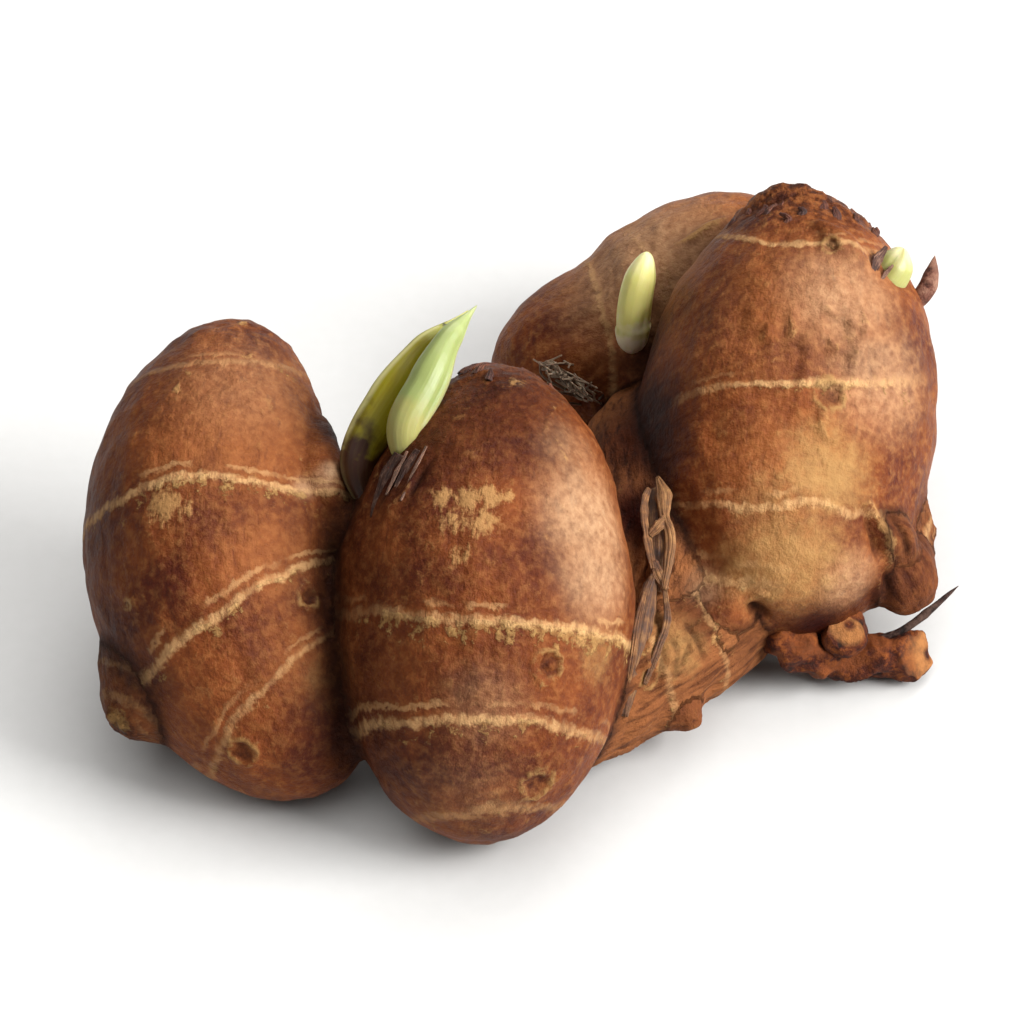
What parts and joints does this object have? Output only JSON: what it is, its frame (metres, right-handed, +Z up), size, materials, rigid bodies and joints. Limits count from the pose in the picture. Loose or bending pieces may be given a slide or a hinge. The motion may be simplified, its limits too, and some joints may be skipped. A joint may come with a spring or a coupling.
{
  "type": "aromatic ginger rhizome clump",
  "caption": "Lying clump of fresh aromatic ginger: plump ringed lobes joined by an old root stock, with young shoots, root stubs and dry sheath remains.",
  "frame": {"origin": "on the surface that the clump lies on, under the middle of its bounding box", "axes": "+Z up, +Y towards the side that the growing tips point to, +X towards the thick cut-back root"},
  "size_m": [0.0614, 0.058, 0.0275],
  "materials": {
    "rhizome_skin": "thin satin skin, reddish brown, with cream leaf-scar rings",
    "shoot": "smooth fresh leaf, yellow green to white",
    "root": "rough, fibrous",
    "sheath": "dry and papery"
  },
  "bodies": {
    "root": {"rhizome": "rhizome_skin", "shoot_front_outer": "shoot", "shoot_front_inner": "shoot", "shoot_back": "shoot", "shoot_bud_right": "shoot", "root_stub_thick": "root", "root_stub_nub": "root", "rootlet_thin": "root", "root_stub_shoulder": "root", "root_stub_under": "root", "root_stub_rear": "root", "sheath_strip_upper": "sheath", "sheath_strip_lower": "sheath", "bud_scale_front": "sheath"}
  },
  "joints": []
}
